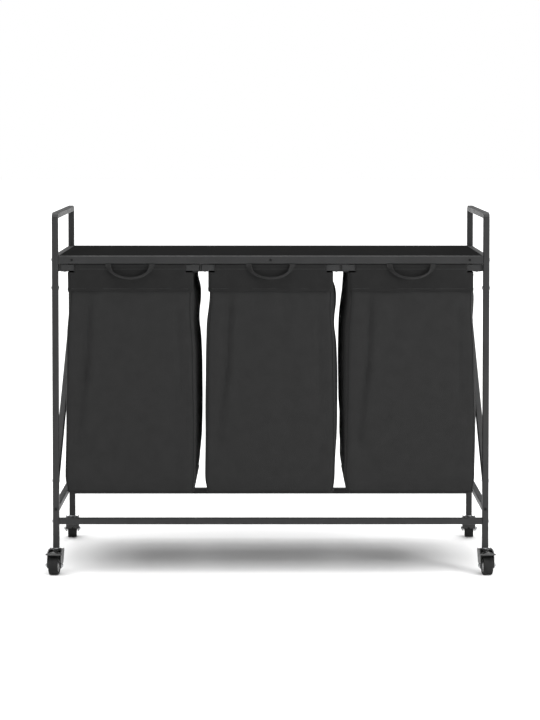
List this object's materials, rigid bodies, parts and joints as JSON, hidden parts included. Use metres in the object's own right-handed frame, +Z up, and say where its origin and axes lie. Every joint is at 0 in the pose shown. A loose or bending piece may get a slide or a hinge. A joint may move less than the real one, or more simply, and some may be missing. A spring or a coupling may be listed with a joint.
{
  "type": "laundry cart",
  "caption": "Rolling laundry cart: square-tube frame with push handles and a flat shelf over fabric bags that slide out on runners.",
  "frame": {"origin": "centre of the overall box at floor level", "axes": "+X along the length, to the right seen from the front; +Y to the rear; +Z up"},
  "size_m": [0.9282, 0.4682, 0.746],
  "materials": {
    "painted_steel": "satin charcoal powder coat",
    "shelf_board": "matte black board",
    "bag_fabric": "woven charcoal polyester",
    "webbing": "flat charcoal webbing",
    "zinc": "bright zinc plate",
    "caster_steel": "gloss black paint",
    "hub_plastic": "light grey moulding",
    "tyre": "matte black tread",
    "black_plastic": "satin black moulding"
  },
  "bodies": {
    "frame": {"left_handle": "painted_steel", "right_handle": "painted_steel", "left_brace": "painted_steel", "right_brace": "painted_steel", "shelf_board": "shelf_board", "bottom_front_rail": "painted_steel", "bottom_rear_rail": "painted_steel", "bottom_left_rail": "painted_steel", "bottom_right_rail": "painted_steel", "shelf_front_rail": "painted_steel", "shelf_rear_rail": "painted_steel", "shelf_left_rail": "painted_steel", "shelf_right_rail": "painted_steel", "outer_left_runner": "painted_steel", "outer_right_runner": "painted_steel", "inner_left_runner": "painted_steel", "inner_right_runner": "painted_steel", "front_left_post": "painted_steel", "front_left_handle_bolt": "zinc", "front_left_caster_socket": "black_plastic", "front_left_caster_stem": "zinc", "front_right_post": "painted_steel", "front_right_handle_bolt": "zinc", "front_right_caster_socket": "black_plastic", "front_right_caster_stem": "zinc", "rear_left_post": "painted_steel", "rear_left_handle_bolt": "zinc", "rear_left_caster_socket": "black_plastic", "rear_left_caster_stem": "zinc", "rear_right_post": "painted_steel", "rear_right_handle_bolt": "zinc", "rear_right_caster_socket": "black_plastic", "rear_right_caster_stem": "zinc"},
    "left_bag": {"left_bag_frame": "painted_steel", "left_bag": "bag_fabric", "left_bag_pull": "webbing"},
    "middle_bag": {"middle_bag_frame": "painted_steel", "middle_bag": "bag_fabric", "middle_bag_pull": "webbing"},
    "right_bag": {"right_bag_frame": "painted_steel", "right_bag": "bag_fabric", "right_bag_pull": "webbing"},
    "front_left_caster": {"front_left_caster_fork": "caster_steel", "front_left_caster_axle": "zinc"},
    "front_left_wheel": {"front_left_wheel_hub": "hub_plastic", "front_left_wheel_tyre": "tyre"},
    "front_left_brake": {"front_left_brake_lever": "black_plastic"},
    "front_right_caster": {"front_right_caster_fork": "caster_steel", "front_right_caster_axle": "zinc"},
    "front_right_wheel": {"front_right_wheel_hub": "hub_plastic", "front_right_wheel_tyre": "tyre"},
    "front_right_brake": {"front_right_brake_lever": "black_plastic"},
    "rear_left_caster": {"rear_left_caster_fork": "caster_steel", "rear_left_caster_axle": "zinc"},
    "rear_left_wheel": {"rear_left_wheel_hub": "hub_plastic", "rear_left_wheel_tyre": "tyre"},
    "rear_right_caster": {"rear_right_caster_fork": "caster_steel", "rear_right_caster_axle": "zinc"},
    "rear_right_wheel": {"rear_right_wheel_hub": "hub_plastic", "rear_right_wheel_tyre": "tyre"}
  },
  "joints": [
    {"name": "left_bag_slide", "type": "slide", "parent": "frame", "child": "left_bag", "axis": [0, -1, 0], "range_m": [0, 0.3]},
    {"name": "middle_bag_slide", "type": "slide", "parent": "frame", "child": "middle_bag", "axis": [0, -1, 0], "range_m": [0, 0.3]},
    {"name": "right_bag_slide", "type": "slide", "parent": "frame", "child": "right_bag", "axis": [0, -1, 0], "range_m": [0, 0.3]},
    {"name": "front_left_swivel", "type": "hinge", "parent": "frame", "child": "front_left_caster", "pos_m": [-0.4435, -0.1935, 0.0494], "axis": [0, 0, 1], "continuous": true},
    {"name": "front_left_roll", "type": "hinge", "parent": "front_left_caster", "child": "front_left_wheel", "pos_m": [-0.4457, -0.21438, 0.019], "axis": [-0.9945, 0.1045, 0], "continuous": true},
    {"name": "front_left_brake_press", "type": "hinge", "parent": "front_left_caster", "child": "front_left_brake", "pos_m": [-0.44533, -0.2109, 0.0426], "axis": [0.9945, -0.1045, 0], "range_deg": [0, 9]},
    {"name": "front_right_swivel", "type": "hinge", "parent": "frame", "child": "front_right_caster", "pos_m": [0.4435, -0.1935, 0.0494], "axis": [0, 0, 1], "continuous": true},
    {"name": "front_right_roll", "type": "hinge", "parent": "front_right_caster", "child": "front_right_wheel", "pos_m": [0.4457, -0.21438, 0.019], "axis": [-0.9945, -0.1045, 0], "continuous": true},
    {"name": "front_right_brake_press", "type": "hinge", "parent": "front_right_caster", "child": "front_right_brake", "pos_m": [0.44533, -0.2109, 0.0426], "axis": [0.9945, 0.1045, 0], "range_deg": [0, 9]},
    {"name": "rear_left_swivel", "type": "hinge", "parent": "frame", "child": "rear_left_caster", "pos_m": [-0.4435, 0.1935, 0.0494], "axis": [0, 0, 1], "continuous": true},
    {"name": "rear_left_roll", "type": "hinge", "parent": "rear_left_caster", "child": "rear_left_wheel", "pos_m": [-0.4457, 0.21438, 0.019], "axis": [0.9945, 0.1045, 0], "continuous": true},
    {"name": "rear_right_swivel", "type": "hinge", "parent": "frame", "child": "rear_right_caster", "pos_m": [0.4435, 0.1935, 0.0494], "axis": [0, 0, 1], "continuous": true},
    {"name": "rear_right_roll", "type": "hinge", "parent": "rear_right_caster", "child": "rear_right_wheel", "pos_m": [0.4457, 0.21438, 0.019], "axis": [0.9945, -0.1045, 0], "continuous": true}
  ]
}
